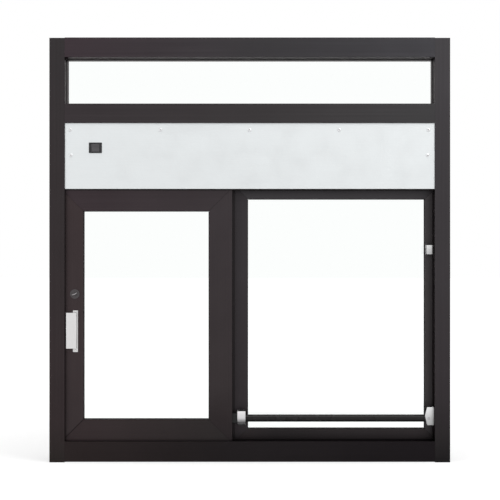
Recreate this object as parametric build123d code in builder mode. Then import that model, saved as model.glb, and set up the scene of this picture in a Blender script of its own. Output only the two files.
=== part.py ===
import os

from build123d import *

# A concession window: a framed unit with a sliding sash on the left, a fixed lite on the right, a
# closed header with a switch above them, a transom light at the top, and a drop bar that blocks
# the sash. Millimetres. X runs to the right seen from the room side, Y away from the viewer, Z up.
# The origin is on the floor under the middle of the frame, at the feet of the jambs.

# Frame, as seen from the front
frame_width = 1206.5
jamb_face = 46.0
jamb_top_drop = 1.2
sill_clearance = 1.7
sill_face = 61.2
window_height = 760.6
header_height = 198.0
transom_bar_face = 58.6
transom_light_height = 139.9
head_face = 59.0

# Frame, from front to back: a front box, the sash's pocket, a fin, the fixed lite's pocket
# and a back box
front_box_depth = 15.0
sash_thickness = 38.0
sash_side_gap = 3.0
fin_thickness = 5.0
fixed_thickness = 38.0
fixed_side_gap = 2.0
back_box_depth = 8.3

# Extruded sections
wall = 2.2
member_wall = 2.0
edge_radius = 0.5
pocket_depth = 18.0
sill_track_drop = 22.9
sill_seat_drop = 11.6

# Track rail in the sill
rail_base_width = 24.0
rail_base_thickness = 2.0
rail_thickness = 3.0
rail_height = 16.0

# Header box over the sash and the fixed lite
panel_thickness = 3.0
panel_recess = 4.0
panel_side_gap = 0.35
back_panel_thickness = 2.0
back_panel_recess = 3.0
soffit_drop = 3.5
soffit_leg = 16.0
soffit_thickness = 2.5
panel_flange = 36.5

# Glass, the pockets it stands in and its gaskets
glass_thickness = 6.0
gasket_thickness = 2.0
glass_pocket_depth = 14.0
glass_bite = 10.0
gasket_lip = 1.5

# Sliding sash
sash_width = 520.2
sash_member = 70.5
sash_jamb_gap = 2.05
sash_rail_gap = 0.7
sash_head_gap = 8.5
roller_slot_inset = 26.0

# Rollers under the sash
roller_diameter = 24.0
roller_width = 10.0
roller_groove = 2.0
roller_inset = 110.0
roller_axle_diameter = 6.0
housing_length = 62.0
housing_wall = 2.0
pin_clearance = 0.05

# Fixed lite
fixed_member = 39.3
fixed_jamb_gap = 1.15
fixed_head_gap = 1.7
meeting_gap = 7.0
setting_block_length = 80.0
setting_block_height = 3.0
setting_block_inset = 120.0

# Seal strips between the frame and the sash or the fixed lite
strip_width = 6.0
sill_strip_width = 5.0
strip_inset = 2.0
strip_end_gap = 0.5

# Interlock between the sash and the fixed lite
interlock_thickness = 2.0
interlock_hook = 5.0
interlock_inset = 3.5
interlock_side_gap = 1.2
interlock_back_gap = 2.5
interlock_end_gap = 0.6

# Lock on the sash stile
lock_inset = 44.8
lock_rise = 449.6
collar_diameter = 28.6
collar_thickness = 3.0
collar_rim = 3.2
collar_dish = 1.0
collar_bore = 10.0
turn_length = 18.0
turn_thickness = 4.6
turn_stand_off = 13.0
turn_hub_diameter = 13.0
turn_hub_height = 3.0
turn_tilt = 23.5

# Pull on the sash stile
pull_inset = 39.2
pull_rise = 274.5
pull_height = 125.4
pull_base_width = 15.1
pull_base_corner = 2.0
pull_thickness = 3.0
pull_grip_width = 32.5
pull_grip_height = 107.8
pull_grip_shift = 2.2
pull_web_inset = 2.9
pull_stand_off = 15.0
pull_lip = 2.5
pull_bend = 2.4

# Switch in the header panel
switch_inset = 92.25
switch_drop = 74.5
bezel_side_rim = 3.5
bezel_top_rim = 1.8
bezel_thickness = 2.0
bezel_corner = 1.5
bezel_side_wall = 3.7
bezel_top_wall = 1.9
bezel_floor = 2.0
rocker_width = 23.8
rocker_height = 23.4
rocker_gap = 0.4
rocker_back_gap = 2.8
rocker_pivot_set = 0.5
rocker_crest = 1.0
rocker_rise = 2.5
rocker_pin_diameter = 3.0
rocker_pin_length = 1.5
cutout_gap = 0.3

# Drop bar
bar_diameter = 22.0
bar_wall = 2.0
bar_rise = 66.5
bar_solid_end = 42.0
bar_cap_thickness = 4.0
bar_cap_plug = 12.0
bar_end_gap = 2.8
bar_side_gap = 0.5
bar_jamb_gap = 2.05

# Pivot bracket on the jamb side, and its pin
bracket_base_thickness = 3.0
bracket_ear_thickness = 3.0
bracket_fall = 20.7
bracket_climb = 34.3
bracket_shoulder = 4.6
bracket_nose = 11.3
bracket_nose_rise = 7.1
bracket_corner = 1.2
bracket_chamfer = 0.8
bracket_back_inset = 3.0
pivot_pin_diameter = 6.4
pivot_head_diameter = 9.0
pivot_head_thickness = 1.2

# Clip on the jamb side
clip_rise = 497.0
clip_height = 27.4
clip_hold = 9.5
clip_back_inset = 3.2
clip_thickness = 2.5
clip_bend = 7.0
clip_flare = 1.6
clip_flare_length = 3.5
clip_corner = 2.0
clip_rim = 3.6
clip_dish = 0.6

# Saddle on the sash's edge
saddle_pad_length = 15.1
saddle_pad_size = 30.0
saddle_pad_corner = 4.0
saddle_length = 25.2
saddle_thickness = 3.0
saddle_climb = 22.6
saddle_edge = 1.2
liner_gap = 0.3
liner_thickness = 6.6

# Depths behind the front face
sash_pocket_back = front_box_depth + sash_thickness + 2 * sash_side_gap
fixed_pocket_front = sash_pocket_back + fin_thickness
fixed_pocket_back = fixed_pocket_front + fixed_thickness + 2 * fixed_side_gap
frame_depth = fixed_pocket_back + back_box_depth
sash_front = front_box_depth + sash_side_gap
sash_back = sash_front + sash_thickness
sash_middle = sash_front + sash_thickness / 2
fixed_front = fixed_pocket_front + fixed_side_gap
fixed_back = fixed_front + fixed_thickness
fixed_middle = fixed_front + fixed_thickness / 2
panel_back = panel_recess + panel_thickness
rear_panel_front = frame_depth - back_panel_recess - back_panel_thickness
glass_pocket_width = glass_thickness + 2 * gasket_thickness
glass_slot_front = sash_pocket_back - glass_pocket_width
glass_slot_back = sash_pocket_back
transom_middle = sash_pocket_back - glass_pocket_width / 2
front_y = -frame_depth / 2
sash_y = front_y + sash_front

# Heights
sill_bottom = sill_clearance
sill_top = sill_bottom + sill_face
track_floor = sill_top - sill_track_drop
seat_floor = sill_top - sill_seat_drop
rail_top = track_floor + rail_height
header_bottom = sill_top + window_height
soffit_bottom = header_bottom - soffit_drop
soffit_web = soffit_bottom + soffit_leg
header_top = header_bottom + header_height
transom_bottom = header_top + transom_bar_face
transom_top = transom_bottom + transom_light_height
head_top = transom_top + head_face
jamb_height = head_top - jamb_top_drop
sash_bottom = rail_top + sash_rail_gap
sash_top = soffit_web - sash_head_gap
fixed_bottom = seat_floor + setting_block_height
fixed_top = soffit_web - fixed_head_gap

# Widths
jamb_outer = frame_width / 2
opening_half = jamb_outer - jamb_face
pocket_half = opening_half + pocket_depth
sash_left = -pocket_half + sash_jamb_gap
sash_right = sash_left + sash_width
fixed_left = sash_right + meeting_gap
fixed_right = pocket_half - fixed_jamb_gap

# The drop bar lies in the middle of the sash's thickness
bar_radius = bar_diameter / 2
bar_y = front_y + sash_middle
bar_z = sill_top + bar_rise
pivot_x = opening_half - bracket_base_thickness - bar_jamb_gap - bar_radius
saddle_x = sash_right + saddle_pad_length
bar_left = saddle_x + saddle_thickness + bar_end_gap + bar_cap_thickness

os.makedirs("parts", exist_ok=True)


def keep(part, name):
    part.label = name
    export_step(part, f"parts/{name}.step")


def facing(y):
    """An upright plane across the frame, whose normal points to the viewer."""
    return Plane.XZ.offset(-y)


def extrusion(origin, across, along, length, outline, cavity):
    """A section with points (across, depth). A hollow one has its front and back corners rounded."""
    with BuildPart() as section:
        with BuildSketch(Plane(origin=origin, x_dir=across, z_dir=along)):
            with BuildLine():
                Polyline(outline, close=True)
            make_face()
            if cavity:
                rows = vertices().group_by(Axis.Y)
                fillet(rows[0] + rows[-1], radius=edge_radius)
                with BuildLine():
                    Polyline(cavity, close=True)
                make_face(mode=Mode.SUBTRACT)
        extrude(amount=length)
    return section.part


# The jambs: one hollow extrusion, turned over for the right side, drawn from the outer face
# towards the opening
pocket_floor = jamb_face - pocket_depth
jamb_outline = [
    (0, 0),
    (jamb_face, 0),
    (jamb_face, front_box_depth),
    (pocket_floor, front_box_depth),
    (pocket_floor, sash_pocket_back),
    (jamb_face, sash_pocket_back),
    (jamb_face, fixed_pocket_front),
    (pocket_floor, fixed_pocket_front),
    (pocket_floor, fixed_pocket_back),
    (jamb_face, fixed_pocket_back),
    (jamb_face, frame_depth),
    (0, frame_depth),
]
jamb_cavity = [
    (wall, wall),
    (jamb_face - wall, wall),
    (jamb_face - wall, front_box_depth - wall),
    (pocket_floor - wall, front_box_depth - wall),
    (pocket_floor - wall, fixed_pocket_back + wall),
    (jamb_face - wall, fixed_pocket_back + wall),
    (jamb_face - wall, frame_depth - wall),
    (wall, frame_depth - wall),
]
left_foot = (-jamb_outer, front_y, 0)
right_top = (jamb_outer, front_y, jamb_height)
keep(extrusion(left_foot, (1, 0, 0), (0, 0, 1), jamb_height, jamb_outline, jamb_cavity), "left_jamb")
keep(extrusion(right_top, (-1, 0, 0), (0, 0, -1), jamb_height, jamb_outline, jamb_cavity), "right_jamb")


def cross_member(outline, cavity):
    """A section with points (height, depth) that runs from jamb to jamb."""
    origin = (opening_half, front_y, 0)
    return extrusion(origin, (0, 0, 1), (-1, 0, 0), 2 * opening_half, outline, cavity)


head = cross_member(
    [
        (transom_top, 0),
        (head_top, 0),
        (head_top, frame_depth),
        (transom_top, frame_depth),
        (transom_top, glass_slot_back),
        (transom_top + glass_pocket_depth, glass_slot_back),
        (transom_top + glass_pocket_depth, glass_slot_front),
        (transom_top, glass_slot_front),
    ],
    [
        (transom_top + wall, wall),
        (head_top - wall, wall),
        (head_top - wall, frame_depth - wall),
        (transom_top + wall, frame_depth - wall),
        (transom_top + wall, glass_slot_back + wall),
        (transom_top + glass_pocket_depth + wall, glass_slot_back + wall),
        (transom_top + glass_pocket_depth + wall, glass_slot_front - wall),
        (transom_top + wall, glass_slot_front - wall),
    ],
)
keep(head, "head")

# The transom bar also carries two flanges that the header's front and back panels lie against
rear_flange_front = fixed_pocket_back
flange_bottom = header_top - panel_flange
transom_bar = cross_member(
    [
        (header_top, 0),
        (transom_bottom, 0),
        (transom_bottom, glass_slot_front),
        (transom_bottom - glass_pocket_depth, glass_slot_front),
        (transom_bottom - glass_pocket_depth, glass_slot_back),
        (transom_bottom, glass_slot_back),
        (transom_bottom, frame_depth),
        (header_top, frame_depth),
        (header_top, rear_panel_front),
        (flange_bottom, rear_panel_front),
        (flange_bottom, rear_flange_front),
        (header_top, rear_flange_front),
        (header_top, panel_back + soffit_thickness),
        (flange_bottom, panel_back + soffit_thickness),
        (flange_bottom, panel_back),
        (header_top, panel_back),
    ],
    [
        (header_top + wall, wall),
        (transom_bottom - wall, wall),
        (transom_bottom - wall, glass_slot_front - wall),
        (transom_bottom - glass_pocket_depth - wall, glass_slot_front - wall),
        (transom_bottom - glass_pocket_depth - wall, glass_slot_back + wall),
        (transom_bottom - wall, glass_slot_back + wall),
        (transom_bottom - wall, frame_depth - wall),
        (header_top + wall, frame_depth - wall),
    ],
)
keep(transom_bar, "transom_bar")

sill = cross_member(
    [
        (sill_bottom, 0),
        (sill_top, 0),
        (sill_top, front_box_depth),
        (track_floor, front_box_depth),
        (track_floor, sash_pocket_back),
        (sill_top, sash_pocket_back),
        (sill_top, fixed_pocket_front),
        (seat_floor, fixed_pocket_front),
        (seat_floor, fixed_pocket_back),
        (sill_top, fixed_pocket_back),
        (sill_top, frame_depth),
        (sill_bottom, frame_depth),
    ],
    [
        (sill_bottom + wall, wall),
        (sill_top - wall, wall),
        (sill_top - wall, front_box_depth - wall),
        (track_floor - wall, front_box_depth - wall),
        (track_floor - wall, sash_pocket_back + wall),
        (seat_floor - wall, sash_pocket_back + wall),
        (seat_floor - wall, fixed_pocket_back + wall),
        (sill_top - wall, fixed_pocket_back + wall),
        (sill_top - wall, frame_depth - wall),
        (sill_bottom + wall, frame_depth - wall),
    ],
)
keep(sill, "sill")

# The track rail stands in the sill's front pocket, under the middle of the sash
sill_track = cross_member(
    [
        (track_floor, sash_middle - rail_base_width / 2),
        (track_floor, sash_middle + rail_base_width / 2),
        (track_floor + rail_base_thickness, sash_middle + rail_base_width / 2),
        (track_floor + rail_base_thickness, sash_middle + rail_thickness / 2),
        (rail_top, sash_middle + rail_thickness / 2),
        (rail_top, sash_middle - rail_thickness / 2),
        (track_floor + rail_base_thickness, sash_middle - rail_thickness / 2),
        (track_floor + rail_base_thickness, sash_middle - rail_base_width / 2),
    ],
    [],
)
keep(sill_track, "sill_track")

# The soffit closes the header from below and guides the top of the sash and of the fixed lite
soffit_up = soffit_web + soffit_thickness + panel_flange - soffit_leg
header_soffit = cross_member(
    [
        (soffit_web, panel_back),
        (soffit_up, panel_back),
        (soffit_up, panel_back + soffit_thickness),
        (soffit_web + soffit_thickness, panel_back + soffit_thickness),
        (soffit_web + soffit_thickness, rear_flange_front),
        (soffit_up, rear_flange_front),
        (soffit_up, rear_panel_front),
        (soffit_bottom, rear_panel_front),
        (soffit_bottom, fixed_pocket_back),
        (soffit_web, fixed_pocket_back),
        (soffit_web, fixed_pocket_front),
        (soffit_bottom, fixed_pocket_front),
        (soffit_bottom, sash_pocket_back),
        (soffit_web, sash_pocket_back),
        (soffit_web, front_box_depth),
        (soffit_bottom, front_box_depth),
        (soffit_bottom, front_box_depth - soffit_thickness),
        (soffit_web, front_box_depth - soffit_thickness),
    ],
    [],
)
keep(header_soffit, "header_soffit")

# Header panels. The front one has a cut-out for the switch.
panel_half = opening_half - panel_side_gap
panel_middle = header_bottom + header_height / 2
well_width = rocker_width + 2 * rocker_gap
well_height = rocker_height + 2 * rocker_gap
bezel_body_width = well_width + 2 * bezel_side_wall
bezel_body_height = well_height + 2 * bezel_top_wall
switch_x = -opening_half + switch_inset
switch_z = header_top - switch_drop
with BuildPart() as header_panel:
    with BuildSketch(facing(front_y + panel_recess)):
        with Locations((0, panel_middle)):
            Rectangle(2 * panel_half, header_height)
        with Locations((switch_x, switch_z)):
            Rectangle(
                bezel_body_width + 2 * cutout_gap,
                bezel_body_height + 2 * cutout_gap,
                mode=Mode.SUBTRACT,
            )
    extrude(amount=-panel_thickness)
keep(header_panel.part, "header_panel")

with BuildPart() as header_back:
    with BuildSketch(facing(front_y + rear_panel_front)):
        with Locations((0, panel_middle)):
            Rectangle(2 * panel_half, header_height)
    extrude(amount=-back_panel_thickness)
keep(header_back.part, "header_back")


def box_tube(low_x, high_x, low_depth, high_depth, low_z, high_z):
    """An upright hollow box section that fills a jamb pocket."""
    with BuildPart() as tube:
        with BuildSketch(Plane.XY.offset(low_z)):
            with Locations(((low_x + high_x) / 2, front_y + (low_depth + high_depth) / 2)):
                Rectangle(high_x - low_x, high_depth - low_depth)
                Rectangle(
                    high_x - low_x - 2 * member_wall,
                    high_depth - low_depth - 2 * member_wall,
                    mode=Mode.SUBTRACT,
                )
        extrude(amount=high_z - low_z)
    return tube.part


# Fillers close the jamb pockets on both sides of the transom light
with BuildPart() as fillers:
    for low_x, high_x in ((-pocket_half, -opening_half), (opening_half, pocket_half)):
        add(box_tube(low_x, high_x, front_box_depth, glass_slot_front, transom_bottom, transom_top))
        add(box_tube(low_x, high_x, fixed_pocket_front, fixed_pocket_back, transom_bottom, transom_top))
keep(fillers.part, "transom_fillers")

# Covers close the jamb pockets that hold no sash. The right one carries the bar's fittings.
right_cover = box_tube(
    opening_half, pocket_half, front_box_depth, sash_pocket_back, sill_top, soffit_bottom
)
keep(right_cover, "right_pocket_cover")
left_cover = box_tube(
    -pocket_half, -opening_half, fixed_pocket_front, fixed_pocket_back, sill_top, soffit_bottom
)
keep(left_cover, "left_pocket_cover")


# Mitred frames. A member's section is drawn from its outer edge inwards.
def glazed_section(width, thickness):
    slot_front = (thickness - glass_pocket_width) / 2
    slot_back = (thickness + glass_pocket_width) / 2
    slot_floor = width - glass_pocket_depth
    outline = [
        (0, 0),
        (width, 0),
        (width, slot_front),
        (slot_floor, slot_front),
        (slot_floor, slot_back),
        (width, slot_back),
        (width, thickness),
        (0, thickness),
    ]
    cavity = [
        (member_wall, member_wall),
        (width - member_wall, member_wall),
        (width - member_wall, slot_front - member_wall),
        (slot_floor - member_wall, slot_front - member_wall),
        (slot_floor - member_wall, slot_back + member_wall),
        (width - member_wall, slot_back + member_wall),
        (width - member_wall, thickness - member_wall),
        (member_wall, thickness - member_wall),
    ]
    return outline, cavity


def mitred_member(corner, inward, along, length, outline, cavity):
    """A member from one outer corner of its frame to the next, cut at 45 degrees at both ends."""
    near = Vector(corner)
    far = near + Vector(along) * length
    with BuildPart() as member:
        add(extrusion(corner, inward, along, length, outline, cavity))
        split(bisect_by=Plane(origin=near, z_dir=Vector(along) - Vector(inward)), keep=Keep.TOP)
        split(bisect_by=Plane(origin=far, z_dir=-Vector(along) - Vector(inward)), keep=Keep.TOP)
    return member.part


def frame_sides(left, right, bottom, top, y):
    """The four members of a frame: outer corner, inward direction, direction along, length."""
    return {
        "left_stile": ((left, y, bottom), (1, 0, 0), (0, 0, 1), top - bottom),
        "right_stile": ((right, y, top), (-1, 0, 0), (0, 0, -1), top - bottom),
        "top_rail": ((left, y, top), (0, 0, -1), (1, 0, 0), right - left),
        "bottom_rail": ((right, y, bottom), (0, 0, 1), (-1, 0, 0), right - left),
    }


sash_outline, sash_cavity = glazed_section(sash_member, sash_thickness)
sash_sides = frame_sides(sash_left, sash_right, sash_bottom, sash_top, sash_y)
for side_name, (corner, inward, along, length) in sash_sides.items():
    member = mitred_member(corner, inward, along, length, sash_outline, sash_cavity)
    if side_name == "bottom_rail":
        # The bottom rail is open below, so that the rollers stand in it over the track rail
        with BuildPart() as bottom_rail:
            add(member)
            with BuildSketch(Plane.XY.offset(sash_bottom)):
                with Locations(((sash_left + sash_right) / 2, front_y + sash_middle)):
                    Rectangle(
                        sash_width - 2 * roller_slot_inset,
                        sash_thickness - 2 * member_wall,
                    )
            extrude(amount=member_wall, mode=Mode.SUBTRACT)
        member = bottom_rail.part
    keep(member, f"sash_{side_name}")

fixed_outline, fixed_cavity = glazed_section(fixed_member, fixed_thickness)
fixed_sides = frame_sides(fixed_left, fixed_right, fixed_bottom, fixed_top, front_y + fixed_front)
for side_name, (corner, inward, along, length) in fixed_sides.items():
    member = mitred_member(corner, inward, along, length, fixed_outline, fixed_cavity)
    keep(member, f"fixed_{side_name}")


# Panes stand in their members' pockets, in four straight channel gaskets that run from the
# pocket's floor to a lip round the daylight opening
def pane(left, right, bottom, top, y):
    with BuildPart() as glass:
        with BuildSketch(facing(y - glass_thickness / 2)):
            with Locations(((left + right) / 2, (bottom + top) / 2)):
                Rectangle(right - left, top - bottom)
        extrude(amount=-glass_thickness)
    return glass.part


def gasket(left, right, bottom, top, y):
    lip = glass_bite + gasket_lip
    rest = glass_pocket_depth - glass_bite
    with BuildPart() as strips:
        for low_x, high_x, low_z, high_z in (
            (left - rest, left + lip, bottom + lip, top - lip),
            (right - lip, right + rest, bottom + lip, top - lip),
            (left + lip, right - lip, bottom - rest, bottom + lip),
            (left + lip, right - lip, top - lip, top + rest),
        ):
            with BuildSketch(facing(y - glass_pocket_width / 2)):
                with Locations(((low_x + high_x) / 2, (low_z + high_z) / 2)):
                    Rectangle(high_x - low_x, high_z - low_z)
            extrude(amount=-glass_pocket_width)
        with BuildSketch(facing(y - glass_thickness / 2)):
            with Locations(((left + right) / 2, (bottom + top) / 2)):
                Rectangle(right - left, top - bottom)
        extrude(amount=-glass_thickness, mode=Mode.SUBTRACT)
    return strips.part


def glaze(name, left, right, bottom, top, y):
    """A pane and its gasket for a daylight opening of the given edges."""
    edges = (left - glass_bite, right + glass_bite, bottom - glass_bite, top + glass_bite, y)
    keep(pane(*edges), f"{name}_glass")
    keep(gasket(*edges), f"{name}_gasket")


glaze(
    "sash",
    sash_left + sash_member,
    sash_right - sash_member,
    sash_bottom + sash_member,
    sash_top - sash_member,
    front_y + sash_middle,
)
glaze(
    "fixed",
    fixed_left + fixed_member,
    fixed_right - fixed_member,
    fixed_bottom + fixed_member,
    fixed_top - fixed_member,
    front_y + fixed_middle,
)
glaze(
    "transom",
    -opening_half,
    opening_half,
    transom_bottom,
    transom_top,
    front_y + transom_middle,
)

# Setting blocks carry the fixed lite in the sill
with BuildPart() as fixed_blocks:
    for block_x in (fixed_left + setting_block_inset, fixed_right - setting_block_inset):
        with BuildSketch(Plane.XY.offset(seat_floor)):
            with Locations((block_x, front_y + fixed_middle)):
                Rectangle(setting_block_length, fixed_thickness)
        extrude(amount=setting_block_height)
keep(fixed_blocks.part, "fixed_setting_blocks")


# Seal strips at the jambs, the soffit and the sill, in the gaps before and behind each leaf
soffit_strip = soffit_bottom + strip_end_gap
sill_strip = sill_top - strip_end_gap
jamb_strip = (sill_top + strip_end_gap, soffit_bottom - strip_end_gap)
sash_strip_x = (-opening_half - strip_inset - strip_width, -opening_half - strip_inset)
fixed_strip_x = (opening_half + strip_inset, opening_half + strip_inset + strip_width)
with BuildPart() as seal_strips:
    for side_x, rail_x, near_depth, far_depth in (
        (sash_strip_x, (-opening_half, sash_right), front_box_depth, sash_front),
        (sash_strip_x, (-opening_half, sash_right), sash_back, sash_pocket_back),
        (fixed_strip_x, (fixed_left, opening_half), fixed_pocket_front, fixed_front),
        (fixed_strip_x, (fixed_left, opening_half), fixed_back, fixed_pocket_back),
    ):
        for (left, right), (bottom, top) in (
            (side_x, jamb_strip),
            (rail_x, (soffit_strip, soffit_strip + strip_width)),
            (rail_x, (sill_strip - sill_strip_width, sill_strip)),
        ):
            with BuildSketch(facing(front_y + near_depth)):
                with Locations(((left + right) / 2, (bottom + top) / 2)):
                    Rectangle(right - left, top - bottom)
            extrude(amount=near_depth - far_depth)
keep(seal_strips.part, "seal_strips")

# Rollers: a grooved wheel on an axle in an open housing, two under the sash's bottom rail
rail_y = front_y + sash_middle
wheel_radius = roller_diameter / 2
axle_z = rail_top + wheel_radius - roller_groove
axle_radius = roller_axle_diameter / 2
housing_half = sash_thickness / 2 - member_wall
roller_places = (sash_left + roller_inset, sash_right - roller_inset)
housing_top = axle_z + wheel_radius + housing_wall

with BuildPart() as wheels:
    for wheel_x in roller_places:
        with BuildSketch(facing(rail_y - roller_width / 2)):
            with Locations((wheel_x, axle_z)):
                Circle(wheel_radius)
        extrude(amount=-roller_width)
        with BuildSketch(facing(rail_y - rail_thickness / 2 - pin_clearance)):
            with Locations((wheel_x, axle_z)):
                Circle(wheel_radius)
                Circle(wheel_radius - roller_groove, mode=Mode.SUBTRACT)
        extrude(amount=-(rail_thickness + 2 * pin_clearance), mode=Mode.SUBTRACT)
        with BuildSketch(facing(rail_y - housing_half)):
            with Locations((wheel_x, axle_z)):
                Circle(axle_radius)
        extrude(amount=-2 * housing_half)
keep(wheels.part, "sash_roller_wheels")

housing_height = housing_top - axle_z + 2 * axle_radius
housing_middle = (axle_z + housing_top) / 2 - axle_radius
with BuildPart() as housings:
    for wheel_x in roller_places:
        with BuildSketch(Plane.YZ.offset(wheel_x - housing_length / 2)):
            with Locations((rail_y, housing_middle)):
                Rectangle(2 * housing_half, housing_height)
            with Locations((rail_y, housing_middle - housing_wall)):
                Rectangle(2 * (housing_half - housing_wall), housing_height, mode=Mode.SUBTRACT)
        extrude(amount=housing_length)
        with BuildSketch(facing(rail_y - housing_half)):
            with Locations((wheel_x, axle_z)):
                Circle(axle_radius + pin_clearance)
        extrude(amount=-2 * housing_half, mode=Mode.SUBTRACT)
keep(housings.part, "sash_roller_housings")


# Interlock: a hook behind the sash's right stile catches one on the fixed lite's left stile
def interlock(points):
    with BuildPart() as hook:
        with BuildSketch(Plane.XY.offset(sill_top + interlock_end_gap)):
            with BuildLine():
                Polyline([(x, front_y + depth) for x, depth in points], close=True)
            make_face()
        extrude(amount=soffit_bottom - sill_top - 2 * interlock_end_gap)
    return hook.part


sash_hook_x = sash_right - interlock_inset
sash_hook_back = fixed_front - interlock_back_gap
sash_interlock = interlock(
    [
        (sash_hook_x, sash_back),
        (sash_hook_x, sash_hook_back),
        (sash_hook_x - interlock_hook, sash_hook_back),
        (sash_hook_x - interlock_hook, sash_hook_back - interlock_thickness),
        (sash_hook_x - interlock_thickness, sash_hook_back - interlock_thickness),
        (sash_hook_x - interlock_thickness, sash_back),
    ]
)
keep(sash_interlock, "sash_interlock")

flange_left = sash_hook_x - interlock_hook - interlock_side_gap - interlock_thickness
fixed_hook_front = sash_back + interlock_back_gap
fixed_interlock = interlock(
    [
        (fixed_left, fixed_front),
        (fixed_left, fixed_front + interlock_thickness),
        (flange_left, fixed_front + interlock_thickness),
        (flange_left, fixed_hook_front),
        (flange_left + interlock_hook, fixed_hook_front),
        (flange_left + interlock_hook, fixed_hook_front + interlock_thickness),
        (flange_left + interlock_thickness, fixed_hook_front + interlock_thickness),
        (flange_left + interlock_thickness, fixed_front),
    ]
)
keep(fixed_interlock, "fixed_interlock")

# Lock collar on the sash's left stile, with a dished face, and the thumbturn in its bore
lock_x = sash_left + lock_inset
lock_z = sash_bottom + lock_rise
collar_y = sash_y - collar_thickness
bore_radius = collar_bore / 2
with BuildPart() as lock_collar:
    with BuildSketch(facing(collar_y)):
        with Locations((lock_x, lock_z)):
            Circle(collar_diameter / 2)
    extrude(amount=-collar_thickness)
    with BuildSketch(facing(collar_y)):
        with Locations((lock_x, lock_z)):
            Circle(collar_diameter / 2 - collar_rim)
    extrude(amount=-collar_dish, mode=Mode.SUBTRACT)
    with BuildSketch(facing(collar_y)):
        with Locations((lock_x, lock_z)):
            Circle(bore_radius)
    extrude(amount=-collar_thickness, mode=Mode.SUBTRACT)
keep(lock_collar.part, "lock_collar")

dish_y = collar_y + collar_dish
hub_y = dish_y - turn_hub_height
turn_y = sash_y - turn_stand_off
with BuildPart() as thumbturn:
    with BuildSketch(facing(hub_y)):
        with Locations((lock_x, lock_z)):
            Circle(turn_hub_diameter / 2)
    extrude(amount=hub_y - dish_y)
    with BuildSketch(facing(dish_y)):
        with Locations((lock_x, lock_z)):
            Circle(bore_radius - pin_clearance)
    extrude(amount=dish_y - sash_y)
    with BuildSketch(facing(turn_y)):
        with Locations(Location((lock_x, lock_z), turn_tilt)):
            SlotOverall(turn_length, turn_thickness)
    extrude(amount=turn_y - hub_y)
keep(thumbturn.part, "thumbturn")

# Pull handle: a base strip on the stile and a grip flange that stands off it, to the left
pull_x = sash_left + pull_inset
pull_bottom = sash_bottom + pull_rise
web_right = pull_x + pull_base_width - pull_web_inset
pull_y = sash_y - pull_thickness
grip_y = sash_y - pull_stand_off
grip_left = web_right - pull_grip_width
grip_bottom = pull_bottom + (pull_height - pull_grip_height) / 2 + pull_grip_shift
with BuildPart() as pull_handle:
    with BuildSketch(facing(pull_y)):
        with Locations((pull_x + pull_base_width / 2, pull_bottom + pull_height / 2)):
            RectangleRounded(pull_base_width, pull_height, pull_base_corner)
    extrude(amount=-pull_thickness)
    with BuildSketch(Plane.XY.offset(grip_bottom)):
        with BuildLine():
            Polyline(
                [
                    (web_right, pull_y),
                    (web_right, grip_y),
                    (grip_left, grip_y),
                    (grip_left, grip_y + pull_thickness + pull_lip),
                    (grip_left + pull_thickness, grip_y + pull_thickness + pull_lip),
                    (grip_left + pull_thickness, grip_y + pull_thickness),
                    (web_right - pull_thickness, grip_y + pull_thickness),
                    (web_right - pull_thickness, pull_y),
                ],
                close=True,
            )
        make_face()
        fillet(vertices().group_by(Axis.Y)[0], radius=pull_bend)
    extrude(amount=pull_grip_height)
keep(pull_handle.part, "pull_handle")

# Switch: a bezel through the header panel and a rocker that tilts in it
panel_y = front_y + panel_recess
bezel_y = panel_y - bezel_thickness
rocker_radius = rocker_height / 2
rocker_y = panel_y + rocker_pivot_set
crest_y = panel_y - rocker_crest
well_back = rocker_y + rocker_radius + rocker_back_gap
with BuildPart() as switch_bezel:
    with BuildSketch(facing(bezel_y)):
        with Locations((switch_x, switch_z)):
            RectangleRounded(
                bezel_body_width + 2 * bezel_side_rim,
                bezel_body_height + 2 * bezel_top_rim,
                bezel_corner,
            )
    extrude(amount=-bezel_thickness)
    with BuildSketch(facing(panel_y)):
        with Locations((switch_x, switch_z)):
            Rectangle(bezel_body_width, bezel_body_height)
    extrude(amount=panel_y - well_back - bezel_floor)
    with BuildSketch(facing(bezel_y)):
        with Locations((switch_x, switch_z)):
            Rectangle(well_width, well_height)
    extrude(amount=bezel_y - well_back, mode=Mode.SUBTRACT)
    with BuildSketch(Plane.YZ.offset(switch_x - well_width / 2 - rocker_pin_length)):
        with Locations((rocker_y, switch_z)):
            Circle(rocker_pin_diameter / 2 + pin_clearance)
    extrude(amount=well_width + 2 * rocker_pin_length, mode=Mode.SUBTRACT)
keep(switch_bezel.part, "switch_bezel")

with BuildPart() as switch_rocker:
    with BuildSketch(Plane.YZ.offset(switch_x - rocker_width / 2)):
        with Locations((rocker_y, switch_z)):
            Circle(rocker_radius)
        with BuildLine():
            Polyline(
                [
                    (crest_y, switch_z - rocker_radius),
                    (crest_y, switch_z),
                    (crest_y - rocker_rise, switch_z + rocker_radius),
                    (rocker_y + rocker_radius, switch_z + rocker_radius),
                    (rocker_y + rocker_radius, switch_z - rocker_radius),
                ],
                close=True,
            )
        make_face(mode=Mode.INTERSECT)
    extrude(amount=rocker_width)
    with BuildSketch(Plane.YZ.offset(switch_x - rocker_width / 2 - rocker_pin_length)):
        with Locations((rocker_y, switch_z)):
            Circle(rocker_pin_diameter / 2)
    extrude(amount=rocker_width + 2 * rocker_pin_length)
keep(switch_rocker.part, "switch_rocker")

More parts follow.
